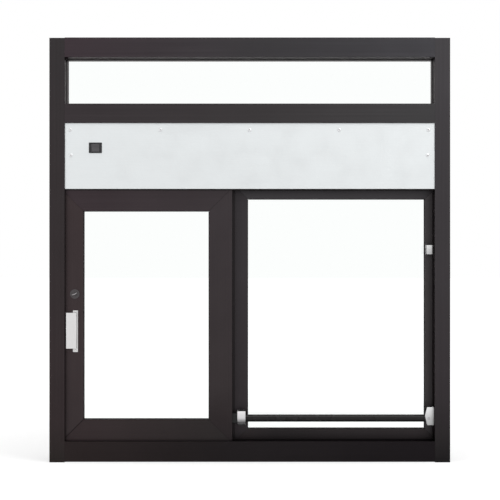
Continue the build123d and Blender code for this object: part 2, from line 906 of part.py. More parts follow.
# Pivot bracket: a base plate on the pocket cover and two five-sided ears, one on each side
# of the bar, with the pin through them. The back ear is a little smaller.
ear_gap = bar_radius + bar_side_gap
ear_y = bar_y - ear_gap - bracket_ear_thickness
bracket_bottom = bar_z - bracket_fall
bracket_top = bar_z + bracket_climb
pin_radius = pivot_pin_diameter / 2
with BuildPart() as pivot_bracket:
    for face_y, depth, inset in (
        (ear_y, bracket_ear_thickness + 2 * ear_gap, 0),
        (bar_y + ear_gap, bracket_ear_thickness, bracket_back_inset),
    ):
        shoulder_x = pivot_x - bracket_shoulder + inset
        with BuildSketch(facing(face_y)):
            with BuildLine():
                Polyline(
                    [
                        (opening_half, bracket_bottom),
                        (opening_half, bracket_top - inset),
                        (shoulder_x, bracket_top - inset),
                        (pivot_x - bracket_nose + inset, bar_z + bracket_nose_rise),
                        (shoulder_x, bracket_bottom),
                    ],
                    close=True,
                )
            make_face()
            fillet([v for v in vertices() if v.X < pivot_x], radius=bracket_corner)
        extrude(amount=-depth)
    chamfer(pivot_bracket.edges().group_by(Axis.Y)[0], length=bracket_chamfer)
    with BuildSketch(facing(bar_y - ear_gap)):
        with Locations((pivot_x - bracket_nose, (bracket_bottom + bracket_top) / 2)):
            Rectangle(
                2 * (opening_half - bracket_base_thickness - pivot_x + bracket_nose),
                2 * (bracket_top - bracket_bottom),
            )
    extrude(amount=-2 * ear_gap, mode=Mode.SUBTRACT)
    with BuildSketch(facing(ear_y)):
        with Locations((pivot_x, bar_z)):
            Circle(pin_radius)
    extrude(amount=-2 * (ear_gap + bracket_ear_thickness), mode=Mode.SUBTRACT)
keep(pivot_bracket.part, "pivot_bracket")

with BuildPart() as pivot_pin:
    with BuildSketch(facing(ear_y)):
        with Locations((pivot_x, bar_z)):
            Circle(pin_radius)
    extrude(amount=-2 * (ear_gap + bracket_ear_thickness))
    for head_y, outward in ((ear_y, 1), (2 * bar_y - ear_y, -1)):
        with BuildSketch(facing(head_y)):
            with Locations((pivot_x, bar_z)):
                Circle(pivot_head_diameter / 2)
        extrude(amount=outward * pivot_head_thickness)
keep(pivot_pin.part, "pivot_pin")

# The drop bar: a round tube, solid and full-rounded at its pivot end, with a cap at the free end
bar_reach = pivot_x - bar_left
with BuildPart() as security_bar:
    with BuildSketch(Plane.YZ.offset(bar_left)):
        with Locations((bar_y, bar_z)):
            Circle(bar_radius)
    extrude(amount=bar_reach + bar_radius)
    with BuildSketch(facing(bar_y - bar_radius)):
        with Locations(((bar_left + pivot_x) / 2, bar_z)):
            Rectangle(bar_reach, bar_diameter)
        with Locations((pivot_x, bar_z)):
            Circle(bar_radius)
    extrude(amount=-bar_diameter, mode=Mode.INTERSECT)
    with BuildSketch(Plane.YZ.offset(bar_left)):
        with Locations((bar_y, bar_z)):
            Circle(bar_radius - bar_wall)
    extrude(amount=bar_reach - bar_solid_end, mode=Mode.SUBTRACT)
    with BuildSketch(facing(bar_y - bar_radius)):
        with Locations((pivot_x, bar_z)):
            Circle(pin_radius + pin_clearance)
    extrude(amount=-bar_diameter, mode=Mode.SUBTRACT)
keep(security_bar.part, "security_bar")

with BuildPart() as bar_end_cap:
    with BuildSketch(Plane.YZ.offset(bar_left - bar_cap_thickness)):
        with Locations((bar_y, bar_z)):
            Circle(bar_radius)
    extrude(amount=bar_cap_thickness)
    with BuildSketch(Plane.YZ.offset(bar_left)):
        with Locations((bar_y, bar_z)):
            Circle(bar_radius - bar_wall)
    extrude(amount=bar_cap_plug)
keep(bar_end_cap.part, "bar_end_cap")

# Clip high on the pocket cover: a bent strip whose two flared prongs hold the bar when it stands
# up, the back one a little shorter
clip_bottom = bar_z + clip_rise
prong_y = bar_y - ear_gap - clip_thickness
back_prong_y = bar_y + ear_gap
clip_tip = pivot_x - clip_hold
flare_x = clip_tip + clip_flare_length
back_tip = clip_tip + clip_back_inset
back_flare_x = back_tip + clip_flare_length
clip_web = opening_half - clip_thickness
with BuildPart() as bar_clip:
    with BuildSketch(Plane.XY.offset(clip_bottom)):
        with BuildLine():
            Polyline(
                [
                    (opening_half, prong_y),
                    (flare_x, prong_y),
                    (clip_tip, prong_y - clip_flare),
                    (clip_tip, prong_y - clip_flare + clip_thickness),
                    (flare_x, prong_y + clip_thickness),
                    (clip_web, prong_y + clip_thickness),
                    (clip_web, back_prong_y),
                    (back_flare_x, back_prong_y),
                    (back_tip, back_prong_y + clip_flare),
                    (back_tip, back_prong_y + clip_flare + clip_thickness),
                    (back_flare_x, back_prong_y + clip_thickness),
                    (opening_half, back_prong_y + clip_thickness),
                ],
                close=True,
            )
        make_face()
        fillet(vertices().group_by(Axis.X)[-2], radius=clip_bend - clip_thickness)
        fillet(vertices().group_by(Axis.X)[-1], radius=clip_bend)
    extrude(amount=clip_height)
    with BuildSketch(facing(prong_y - clip_flare)):
        with Locations(((clip_tip + opening_half) / 2, clip_bottom + clip_height / 2)):
            RectangleRounded(opening_half - clip_tip, clip_height, clip_corner)
    extrude(amount=2 * (prong_y - clip_flare - bar_y), mode=Mode.INTERSECT)
    with BuildSketch(facing(prong_y)):
        with Locations(((flare_x + opening_half - clip_bend) / 2, clip_bottom + clip_height / 2)):
            Rectangle(opening_half - clip_bend - flare_x - clip_rim, clip_height - 2 * clip_rim)
    extrude(amount=-clip_dish, mode=Mode.SUBTRACT)
keep(bar_clip.part, "bar_clip")

# Saddle: a round-bottomed channel, open above, that stops the bar's free end behind the sash.
# A pad holds it off the sash's edge, and a rubber liner fits it to the bar.
liner_radius = bar_radius + liner_gap
inner_radius = liner_radius + liner_thickness
saddle_radius = inner_radius + saddle_thickness
saddle_top = bar_z + saddle_climb
with BuildPart() as bar_saddle:
    with BuildSketch(Plane.YZ.offset(saddle_x)):
        with Locations((bar_y, bar_z)):
            Circle(saddle_radius)
        with Locations((bar_y, (bar_z + saddle_top) / 2)):
            Rectangle(2 * saddle_radius, saddle_top - bar_z)
    extrude(amount=saddle_length)
    ends = bar_saddle.edges().group_by(Axis.X)
    chamfer(ends[0] + ends[-1], length=saddle_edge)
    with BuildSketch(Plane.YZ.offset(saddle_x + saddle_thickness)):
        with Locations((bar_y, bar_z)):
            Circle(inner_radius)
        with Locations((bar_y, (bar_z + saddle_top) / 2)):
            Rectangle(2 * inner_radius, saddle_top - bar_z)
        with Locations((bar_y, saddle_top + saddle_radius / 2)):
            Rectangle(2 * inner_radius, saddle_radius)
    extrude(amount=saddle_length - saddle_thickness, mode=Mode.SUBTRACT)
keep(bar_saddle.part, "bar_saddle")

with BuildPart() as saddle_liner:
    with BuildSketch(Plane.YZ.offset(saddle_x + saddle_thickness)):
        with Locations((bar_y, bar_z)):
            Circle(inner_radius)
        with Locations((bar_y, (bar_z + saddle_top) / 2)):
            Rectangle(2 * inner_radius, saddle_top - bar_z)
        with Locations((bar_y, bar_z)):
            Circle(liner_radius, mode=Mode.SUBTRACT)
        with Locations((bar_y, saddle_top)):
            Rectangle(2 * liner_radius, 2 * (saddle_top - bar_z), mode=Mode.SUBTRACT)
    extrude(amount=saddle_length - saddle_thickness)
keep(saddle_liner.part, "saddle_liner")

with BuildPart() as saddle_pad:
    with BuildSketch(Plane.YZ.offset(sash_right)):
        with Locations((bar_y, bar_z)):
            RectangleRounded(saddle_pad_size, saddle_pad_size, saddle_pad_corner)
    extrude(amount=saddle_pad_length)
keep(saddle_pad.part, "saddle_pad")
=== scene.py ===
import math

import bmesh
import bpy
import numpy as np
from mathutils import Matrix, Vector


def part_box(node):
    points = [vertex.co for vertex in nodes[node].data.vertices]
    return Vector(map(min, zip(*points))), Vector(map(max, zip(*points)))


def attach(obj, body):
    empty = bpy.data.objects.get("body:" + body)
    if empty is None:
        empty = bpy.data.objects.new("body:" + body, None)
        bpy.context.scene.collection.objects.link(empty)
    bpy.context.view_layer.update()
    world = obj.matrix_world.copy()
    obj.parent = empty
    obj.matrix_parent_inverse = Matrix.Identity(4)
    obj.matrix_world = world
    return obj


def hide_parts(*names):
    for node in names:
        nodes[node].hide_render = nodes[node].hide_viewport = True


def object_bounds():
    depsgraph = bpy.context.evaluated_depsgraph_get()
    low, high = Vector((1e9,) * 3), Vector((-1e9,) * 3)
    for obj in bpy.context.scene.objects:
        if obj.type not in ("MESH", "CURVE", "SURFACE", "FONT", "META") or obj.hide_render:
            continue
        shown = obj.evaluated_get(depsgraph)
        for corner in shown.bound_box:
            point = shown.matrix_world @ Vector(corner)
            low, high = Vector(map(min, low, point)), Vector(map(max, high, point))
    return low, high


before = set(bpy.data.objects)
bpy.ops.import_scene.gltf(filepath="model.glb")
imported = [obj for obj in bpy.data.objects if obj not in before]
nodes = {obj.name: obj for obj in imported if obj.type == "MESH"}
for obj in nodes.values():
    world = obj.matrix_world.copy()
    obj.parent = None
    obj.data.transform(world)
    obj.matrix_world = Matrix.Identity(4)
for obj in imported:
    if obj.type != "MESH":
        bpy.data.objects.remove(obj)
cadBox = [list(corner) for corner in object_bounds()]
print("frame loaded:", len(nodes), "nodes")

# Camera: straight in front, 4.6 m from the face of the frame, which gives 3.0095 mm a pixel there
camera = {"x": 0.0007, "height": 0.6392, "distance": 4.6, "mmPerPixel": 3.0095, "pixels": 500, "sensor": 36.0}
frontFace = cadBox[0][1]


def linear(hexTone):
    # sRGB hex to linear light, by the standard's two-part curve
    parts = [int(hexTone[i:i + 2], 16) / 255 for i in (1, 3, 5)]
    return [p / 12.92 if p <= 0.04045 else ((p + 0.055) / 1.055) ** 2.4 for p in parts] + [1.0]


def add(tree, kind, values=None, links=(), **settings):
    # one shader node: its properties, its socket values, and its links as (socket, node, output)
    made = tree.nodes.new("ShaderNode" + kind)
    for name, value in settings.items():
        setattr(made, name, value)
    for socket, value in (values or {}).items():
        made.inputs[socket].default_value = value
    for socket, source, output in links:
        tree.links.new(source.outputs[output], made.inputs[socket])
    return made


# The middle of a noise's range, where nearly all of its values lie
noiseSpan = (0.3, 0.7)


def spread(tree, source, output, low, high, span=noiseSpan):
    # the span of a value, turned into low to high
    values = {"From Min": span[0], "From Max": span[1], "To Min": low, "To Max": high}
    return add(tree, "MapRange", values, [("Value", source, output)])


def noise(tree, vector, output, scale, detail, **roughness):
    values = {"Scale": scale, "Detail": detail, **roughness}
    return add(tree, "TexNoise", values, [("Vector", vector, output)])


def bump(tree, height, strength, depthMm):
    return add(tree, "Bump", {"Strength": strength, "Distance": depthMm / 1000}, [("Height", height, "Fac")])


def twoTones(tree, source, tone, change, low=0.0, high=1.0):
    # a tone that a noise makes darker and lighter by a share of itself
    ramp = add(tree, "ValToRGB", links=[("Fac", source, "Fac")])
    for element, place, factor in zip(ramp.color_ramp.elements, (low, high), (1 - change, 1 + change)):
        element.position = place
        element.color = [min(1.0, c * factor) for c in linear(tone)[:3]] + [1.0]
    return ramp


def newMaterial(name):
    material = bpy.data.materials.new(name)
    material.use_nodes = True
    tree = material.node_tree
    tree.nodes.clear()
    return material, tree


def finishMaterial(tree, shader):
    add(tree, "OutputMaterial", links=[("Surface", shader, 0)])


def principled(tree, values, colour, output, sheen, relief):
    # the surface of a material whose colour, sheen and relief are made by nodes
    links = [("Base Color", colour, output), ("Roughness", sheen, 0), ("Normal", relief, 0)]
    finishMaterial(tree, add(tree, "BsdfPrincipled", values, links))


# Dark bronze anodised aluminium, extruded: a satin metal with faint die lines along each length,
# a slow drift of tone in the anodising, and slightly uneven sheen. Real die lines are finer, and
# these are about 3 mm apart so that they show.
bronzeSkin = {"lineMm": 3.0, "runMm": 700.0, "driftMm": 160.0, "toneSpread": 0.07, "metallic": 1.0,
              "edgeTint": (0.45, 0.44, 0.44, 1.0)}

# Clear anodised fittings, cut from extrusion and tumbled: a finer, fainter grain and a pale satin
satinSkin = {"lineMm": 1.1, "runMm": 14.0, "driftMm": 18.0, "toneSpread": 0.02, "metallic": 0.85,
             "edgeTint": (1.0, 1.0, 1.0, 1.0)}

# What both have in common. The drift of tone is 0.7 of the spread from line to line.
anodising = {"roughness": 0.40, "sheenSpread": 0.05, "driftShare": 0.7, "lineDetail": 3.0, "lineRoughness": 0.6,
             "driftDetail": 2.0, "bumpStrength": 0.35, "lineDepthMm": 0.02}


def anodisedAluminium(name, skin, along, toneAndShadeStops, low, high):
    # the stops are (place, tone) pairs from one end of the length to the other, which runs along X or Z, and paint
    # light and shade into the tone as well
    material, tree = newMaterial(name)
    place = add(tree, "TexCoord")
    across, run = 1000 / skin["lineMm"], 1000 / skin["runMm"]
    scale = (run, across, across) if along == "X" else (across, across, run)
    stretch = add(tree, "Mapping", {"Scale": scale}, [("Vector", place, "Object")])
    lines = noise(tree, stretch, 0, 1.0, anodising["lineDetail"], Roughness=anodising["lineRoughness"])
    drift = noise(tree, place, "Object", 1000 / skin["driftMm"], anodising["driftDetail"])
    axes = add(tree, "SeparateXYZ", links=[("Vector", place, "Object")])
    share = spread(tree, axes, along, 0.0, 1.0, (low, high))
    # the ramp of tone and painted light and shade along the length
    ramp = add(tree, "ValToRGB", links=[("Fac", share, 0)])
    for stop, tone in toneAndShadeStops[1:-1]:
        ramp.color_ramp.elements.new(stop)
    for element, (stop, tone) in zip(ramp.color_ramp.elements, toneAndShadeStops):
        element.position, element.color = stop, linear(tone)
    lineSpread = skin["toneSpread"]
    driftSpread = anodising["driftShare"] * lineSpread
    lineShade = spread(tree, lines, "Fac", 1 - lineSpread, 1 + lineSpread)
    driftShade = spread(tree, drift, "Fac", 1 - driftSpread, 1 + driftSpread)
    shade = add(tree, "Math", links=[(0, lineShade, 0), (1, driftShade, 0)], operation="MULTIPLY")
    colour = add(tree, "VectorMath", links=[(0, ramp, "Color"), ("Scale", shade, 0)], operation="SCALE")
    rough, change = anodising["roughness"], anodising["sheenSpread"]
    sheen = spread(tree, lines, "Fac", rough - change, rough + change)
    relief = bump(tree, lines, anodising["bumpStrength"], anodising["lineDepthMm"])
    values = {"Metallic": skin["metallic"], "Specular Tint": skin["edgeTint"]}
    principled(tree, values, colour, 0, sheen, relief)
    return material


# Tones of the anodising along each length, from foot to top for uprights and from left to right for cross lengths.
# Each ramp mixes the piece's own tone with painted light and shade: pieces are painted lighter where the lamps
# fall and darker where shade falls.
bronzeTonesAndPaintedShade = {
    "left_jamb": ("Z", ((0, "#2a2625"), (0.1, "#322b2c"), (1, "#333031"))),
    # painted shade: dark at the foot, lighter towards the lit top
    "right_jamb": ("Z", ((0, "#1e1c1d"), (0.07, "#2b2829"), (0.16, "#332f31"), (0.55, "#3a3739"), (1, "#3e3c3e"))),
    "head": ("X", ((0, "#3a3236"), (0.5, "#393739"), (1, "#3d3c3f"))),
    "transom_bar": ("X", ((0, "#363133"), (0.5, "#393637"), (1, "#3c3b3c"))),
    # painted shade, darker towards the right
    "sill": ("X", ((0, "#2a2424"), (0.45, "#221f20"), (1, "#1c191b"))),
    "sash_left_stile": ("Z", ((0, "#383132"), (1, "#3a3233"))),
    "sash_right_stile": ("Z", ((0, "#2a2627"), (0.1, "#2e292a"), (0.22, "#353031"), (1, "#3a3537"))),
    "sash_top_rail": ("X", ((0, "#383033"), (1, "#393436"))),
    "sash_bottom_rail": ("X", ((0, "#352d2e"), (1, "#2d2a2a"))),
    "fixed_left_stile": ("Z", ((0, "#322e30"), (1, "#393638"))),
    "fixed_right_stile": ("Z", ((0, "#3b3839"), (1, "#484546"))),
    "fixed_top_rail": ("X", ((0, "#3f3d3f"), (1, "#3f3d3f"))),
    "fixed_bottom_rail": ("X", ((0, "#332e2f"), (0.2, "#2c292a"), (1, "#332f30"))),
    "header_soffit": ("X", ((0, "#2a2728"), (1, "#2a2728"))),
    "header_back": ("X", ((0, "#3c383a"), (1, "#3c383a"))),
    "left_pocket_cover": ("Z", ((0, "#302c2d"), (1, "#383436"))),
    "right_pocket_cover": ("Z", ((0, "#262324"), (1, "#343132"))),
    # painted light on the lit left return, darker towards the right
    "transom_fillers": ("X", ((0, "#5a5557"), (1, "#454144"))),
    "sash_interlock": ("Z", ((0, "#2a2728"), (1, "#302d2e"))),
    "fixed_interlock": ("Z", ((0, "#2a2728"), (1, "#302d2e"))),
}
# Tones of the fittings from foot to top, with painted light and shade: the bracket and the clip are painted darker
# towards the foot, and the saddle has a painted band of shade on its round underside, lighter again at the very
# foot for painted light thrown back.
satinTonesAndPaintedShade = {
    "pull_handle": ("Z", ((0, "#d0cfcf"), (1, "#d2d1d1"))),
    "bar_saddle": ("Z", ((0, "#e6e6e6"), (0.12, "#cccbcc"), (0.22, "#747374"), (0.34, "#949394"),
                         (0.52, "#cbcacb"), (1, "#e7e5e6"))),
    "pivot_bracket": ("Z", ((0, "#a7a7a7"), (0.45, "#c5c5c5"), (0.85, "#e2e2e2"), (1, "#e6e6e6"))),
    "bar_clip": ("Z", ((0, "#bababa"), (0.5, "#c8c8c8"), (0.9, "#dadada"), (1, "#dcdcdc"))),
}

# Grain of the plain metals. A brushed mark is 60 times as long as it is wide, and the sheen drifts
# over 40 grains.
metalGrain = {"brushLength": 60, "cloudGrains": 40, "low": 0.25, "high": 0.75, "detail": 3.0, "roughness": 0.55,
              "cloudDetail": 2.0, "sheenSpread": 0.06, "bumpStrength": 0.3, "depthMm": 0.03}
white = (1.0, 1.0, 1.0, 1.0)


def plainMetal(name, tone, roughness, grainMm, lift, along=None, edgeTint=white, metallic=1.0):
    # a satin or plated metal: fine grain of the given size, drawn out along X if brushed
    material, tree = newMaterial(name)
    place = add(tree, "TexCoord")
    fine = 1000 / grainMm
    scale = (fine / metalGrain["brushLength"] if along == "X" else fine, fine, fine)
    stretch = add(tree, "Mapping", {"Scale": scale}, [("Vector", place, "Object")])
    grain = noise(tree, stretch, 0, 1.0, metalGrain["detail"], Roughness=metalGrain["roughness"])
    cloud = noise(tree, place, "Object", fine / metalGrain["cloudGrains"], metalGrain["cloudDetail"])
    ramp = twoTones(tree, grain, tone, lift, metalGrain["low"], metalGrain["high"])
    change = metalGrain["sheenSpread"]
    sheen = spread(tree, cloud, "Fac", roughness - change, roughness + change)
    relief = bump(tree, grain, metalGrain["bumpStrength"], metalGrain["depthMm"])
    principled(tree, {"Metallic": metallic, "Specular Tint": edgeTint}, ramp, "Color", sheen, relief)
    return material


# Grain of the mouldings: the tone changes by a tenth over clouds 25 grains across
mould = {"cloudGrains": 25, "toneChange": 0.1, "detail": 2.0, "cloudDetail": 1.0, "sheenSpread": 0.05,
         "bumpStrength": 0.4, "ior": 1.49}


def mouldedPolymer(name, tone, roughness, grainMm, depthMm, specular):
    # moulded plastic or rubber: the mould's spark grain as fine bumps, with a faint cloud of tone
    material, tree = newMaterial(name)
    place = add(tree, "TexCoord")
    grain = noise(tree, place, "Object", 1000 / grainMm, mould["detail"])
    cloud = noise(tree, place, "Object", 1000 / (grainMm * mould["cloudGrains"]), mould["cloudDetail"])
    ramp = twoTones(tree, cloud, tone, mould["toneChange"])
    change = mould["sheenSpread"]
    sheen = spread(tree, grain, "Fac", roughness - change, roughness + change, (0.0, 1.0))
    relief = bump(tree, grain, mould["bumpStrength"], depthMm)
    principled(tree, {"Specular IOR Level": specular, "IOR": mould["ior"]}, ramp, "Color", sheen, relief)
    return material


sheet = {"waveMm": 90, "bumpStrength": 0.02, "depthMm": 0.2, "ior": 1.52}


def floatGlass(name, tint):
    # clear float glass: flat and colourless face on, with a trace of iron green and a very faint
    # unevenness of the sheet
    material, tree = newMaterial(name)
    wave = noise(tree, add(tree, "TexCoord"), "Object", 1000 / sheet["waveMm"], 0.0)
    relief = bump(tree, wave, sheet["bumpStrength"], sheet["depthMm"])
    values = {"Base Color": linear(tint), "Roughness": 0.0, "IOR": sheet["ior"], "Transmission Weight": 1.0}
    finishMaterial(tree, add(tree, "BsdfPrincipled", values, [("Normal", relief, 0)]))
    return material


coatTint = (0.5, 0.5, 0.5, 1.0)
tubeTint = (0.2, 0.2, 0.2, 1.0)
finishes = {
    # clear anodised sheet, brushed along its length, matt and even
    "panel": plainMetal("clearAnodisedSheet", "#cdd0d1", 0.52, 1.6, 0.015, "X"),
    "track": plainMetal("millAluminiumTrack", "#9b9b9c", 0.35, 0.8, 0.05, "X"),
    # zinc die casting with a dark grey coat
    "lock": plainMetal("darkCoatedZinc", "#4c494a", 0.38, 1.2, 0.06, None, coatTint),
    # the same casting, painted paler on the lever as a painted highlight
    "lever": plainMetal("wornCoatedZinc", "#8d8a8b", 0.34, 1.2, 0.06, None, coatTint),
    "steel": plainMetal("zincPlatedSteel", "#a9a9ab", 0.32, 0.8, 0.05),
    # stainless pan heads, polished paler than the plated pieces
    "screws": plainMetal("stainlessPanHeads", "#d2d2d3", 0.30, 0.8, 0.03),
    # black anodised tube, glossier than the frame
    "bar": plainMetal("blackAnodisedTube", "#2a2929", 0.30, 1.2, 0.05, "X", tubeTint, 0.6),
    "glass": floatGlass("clearFloatGlass", "#fcfefd"),
    "rubber": mouldedPolymer("blackRubber", "#161616", 0.7, 0.6, 0.03, 0.35),
    # matt black, painted shade that stands for the shadow in the mitre gaps
    "sealant": mouldedPolymer("blackJointSealant", "#070606", 0.9, 0.4, 0.01, 0.05),
    "bezel": mouldedPolymer("mouldedSwitchBezel", "#262527", 0.5, 0.8, 0.02, 0.35),
    "rocker": mouldedPolymer("mouldedSwitchRocker", "#545254", 0.42, 0.8, 0.02, 0.4),
}
finishOf = {
    "header_panel": "panel", "sill_track": "track", "lock_collar": "lock", "thumbturn": "lock",
    "pivot_pin": "steel", "sash_roller_wheels": "steel", "sash_roller_housings": "steel",
    "security_bar": "bar", "transom_glass": "glass", "sash_glass": "glass", "fixed_glass": "glass",
    "sash_gasket": "rubber", "fixed_gasket": "rubber", "transom_gasket": "rubber",
    "seal_strips": "rubber", "fixed_setting_blocks": "rubber", "saddle_liner": "rubber",
    "saddle_pad": "rubber", "bar_end_cap": "rubber", "switch_bezel": "bezel", "switch_rocker": "rocker",
}
anodised = {name: ("bronze_", bronzeSkin, row) for name, row in bronzeTonesAndPaintedShade.items()}
anodised.update({name: ("satin_", satinSkin, row) for name, row in satinTonesAndPaintedShade.items()})
for name, piece in nodes.items():
    if name in anodised:
        word, skin, (along, toneAndShadeStops) = anodised[name]
        low, high = (corner["XYZ".index(along)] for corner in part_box(name))
        finish = anodisedAluminium(word + name, skin, along, toneAndShadeStops, low, high)
    else:
        finish = finishes[finishOf[name]]
    piece.data.materials.clear()
    piece.data.materials.append(finish)
print("finishes given to the nodes")

# Points closer than this are one, and edges sharper than this stay crisp
meshing = {"joinWithin": 1e-7, "sharpAngle": math.radians(35)}


def meshPiece(name, grids, material, body):
    # one object from closed surfaces, each a grid of points (rows, columns, 3) whose columns run
    # round and whose first and last rows close in a point
    points, faces, start = [], [], 0
    for grid in grids:
        rows, columns = grid.shape[:2]
        index = start + np.arange(rows * columns).reshape(rows, columns)
        nextColumn = np.roll(index, -1, axis=1)
        corners = [index[:-1], nextColumn[:-1], nextColumn[1:], index[1:]]
        faces.append(np.stack(corners, axis=-1).reshape(-1, 4))
        points.append(grid.reshape(-1, 3))
        start += rows * columns
    mesh = bpy.data.meshes.new(name)
    mesh.from_pydata(np.concatenate(points), [], np.concatenate(faces).tolist())
    shape = bmesh.new()
    shape.from_mesh(mesh)
    bmesh.ops.remove_doubles(shape, verts=shape.verts, dist=meshing["joinWithin"])
    bmesh.ops.recalc_face_normals(shape, faces=shape.faces)
    shape.to_mesh(mesh)
    shape.free()
    mesh.polygons.foreach_set("use_smooth", np.ones(len(mesh.polygons), bool))
    mesh.set_sharp_from_angle(angle=meshing["sharpAngle"])
    mesh.materials.append(material)
    piece = bpy.data.objects.new(name, mesh)
    bpy.context.scene.collection.objects.link(piece)
    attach(piece, body)
    return piece


def circle(steps):
    return np.linspace(0, 2 * np.pi, steps, endpoint=False)


# A pan head in shares of its radius and height: its upright wall, and the two bars of its cross
# recess, whose sides and ends fade over a short way
panHead = {"columns": 40, "innerRings": (0, 0.55, 9), "outerRings": (0.62, 1, 9), "wall": 0.35, "recess": 0.6,
           "barHalfWidth": 0.13, "barSideFade": 0.06, "barHalfLength": 0.5, "barEndFade": 0.12}


def crossBar(across, along):
    # 1 inside one bar of the recess and 0 outside, linear between
    side = np.clip((panHead["barHalfWidth"] - np.abs(across)) / panHead["barSideFade"], 0, 1)
    end = np.clip((panHead["barHalfLength"] - np.abs(along)) / panHead["barEndFade"], 0, 1)
    return side * end


def screwHead(x, z, faceY, out, radius, height, turn):
    # a disc whose height is height * (wall + (1 - wall) * (1 - (r / R)^4) ^ 0.5) above its face,
    # less recess * height where a bar of the cross is
    outward = np.concatenate([np.linspace(*panHead["innerRings"]), np.linspace(*panHead["outerRings"])])
    r, a = np.meshgrid(outward, circle(panHead["columns"]), indexing="ij")
    u, v = r * np.cos(a - turn), r * np.sin(a - turn)
    dome = panHead["wall"] + (1 - panHead["wall"]) * np.sqrt(np.clip(1 - r ** 4, 0, 1))
    level = height * (dome - panHead["recess"] * np.maximum(crossBar(u, v), crossBar(v, u)))
    top = np.stack([x + radius * r * np.cos(a), faceY + out * level, z + radius * r * np.sin(a)], axis=-1)
    rim = top[-1].copy()
    rim[:, 1] = faceY
    centre = np.broadcast_to([x, faceY, z], rim.shape)
    return np.concatenate([top, rim[None], centre[None]])


# Screws: seven through the header panel at the places that show, the same seven through the back
# panel, and two at the ends of the pull's base
panelScrews = {"radius": 0.0050, "height": 0.0022, "rowZ": 1.0010, "sideZ": 0.9245, "seed": 7,
               "rowX": (-0.5409, -0.2692, -0.0006, 0.2694, 0.5381), "sideX": (-0.5387, 0.5360)}
screwPlaces = [(x, panelScrews["rowZ"]) for x in panelScrews["rowX"]]
screwPlaces += [(x, panelScrews["sideZ"]) for x in panelScrews["sideX"]]
turns = np.random.default_rng(panelScrews["seed"]).uniform(0, np.pi / 2, 2 * len(screwPlaces))
panelFace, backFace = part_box("header_panel")[0].y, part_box("header_back")[1].y
for name, faceY, out, turnOrder in (("panel_screws", panelFace, -1, turns),
                                    ("back_panel_screws", backFace, 1, turns[::-1])):
    heads = [screwHead(x, z, faceY, out, panelScrews["radius"], panelScrews["height"], turn)
             for (x, z), turn in zip(screwPlaces, turnOrder)]
    meshPiece(name, heads, finishes["screws"], "frame")

pullScrews = {"radius": 0.0026, "height": 0.0010, "fromRight": 0.0054, "fromBottom": 0.0056, "fromTop": 0.0033,
              "baseThickness": 0.003, "turn": 0.6}
pullLow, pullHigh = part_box("pull_handle")
pullX = pullHigh.x - pullScrews["fromRight"]
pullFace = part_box("sash_left_stile")[0].y - pullScrews["baseThickness"]
pullHeads = [screwHead(pullX, z, pullFace, -1, pullScrews["radius"], pullScrews["height"], pullScrews["turn"])
             for z in (pullLow.z + pullScrews["fromBottom"], pullHigh.z - pullScrews["fromTop"])]
meshPiece("pull_screws", pullHeads, finishes["screws"], "frame")
print("screws made")

# Thumbturn: a slightly bowed lever on a round hub, standing in the collar's dish, whose floor is
# 2 mm before the stile. The lever's foot is sunk into the hub, and its rounded top ends where the
# CAD piece does.
lever = {"length": 0.0180, "thickness": 0.0030, "bend": 0.0016, "bowMiddle": 0.64, "tilt": math.radians(23.5),
         "endPower": 0.8, "sidePower": 0.45, "waist": 0.18, "shrink": 0.08, "topSize": 0.89, "topRise": 0.0004,
         "footSunk": 0.0002, "columns": 64, "sideRows": 14, "topRows": 8}
hub = {"radius": 0.0052, "height": 0.0024, "columns": 56, "dishFloor": 0.002,
       "edge": ((0.0012, 0.0), (0.0005, 0.0002), (0.0001, 0.0008))}


def leverSurface(centre, foot, tip):
    # across: a rounded bar, cos(a)^0.8 by sin(a)^0.45 with their signs, whose middle line is bowed
    # by bend * (bowMiddle - cos(pi u / length)) and whose thickness has a waist at half height.
    # along: it stands up with its outline shrinking by the 6th power of height, then closes in.
    around = circle(lever["columns"])
    u0, v0 = np.cos(around), np.sin(around)
    u0 = np.sign(u0) * np.abs(u0) ** lever["endPower"] * lever["length"] / 2
    v0 = np.sign(v0) * np.abs(v0) ** lever["sidePower"] * lever["thickness"] / 2
    side, top = np.linspace(0, 1, lever["sideRows"]), np.linspace(0, 1, lever["topRows"])
    rise = np.concatenate([side, np.ones_like(top)])
    size = np.concatenate([1 - lever["shrink"] * side ** 6, lever["topSize"] * (1 - top)])
    waist = 1 - lever["waist"] * np.sin(np.pi * rise)
    u = size[:, None] * u0
    bow = lever["bend"] * (lever["bowMiddle"] - np.cos(np.pi * u / lever["length"]))
    v = size[:, None] * waist[:, None] * v0 + bow
    level = foot + (tip - foot) * rise
    level[len(side):] -= lever["topRise"] * top
    c, s = math.cos(lever["tilt"]), math.sin(lever["tilt"])
    x = centre[0] + u * c - v * s
    z = centre[1] + u * s + v * c
    y = np.broadcast_to(level[:, None], x.shape)
    grid = np.stack([x, y, z], axis=-1)
    start = np.broadcast_to([centre[0], foot, centre[1]], grid[0].shape)
    return np.concatenate([start[None], grid])


def turnedSurface(centre, profile, columns):
    # a profile of (radius, y) turned about the axis through centre
    around = circle(columns)
    radius, level = np.array(profile).T
    x = centre[0] + radius[:, None] * np.cos(around)
    z = centre[1] + radius[:, None] * np.sin(around)
    return np.stack([x, np.broadcast_to(level[:, None], x.shape), z], axis=-1)


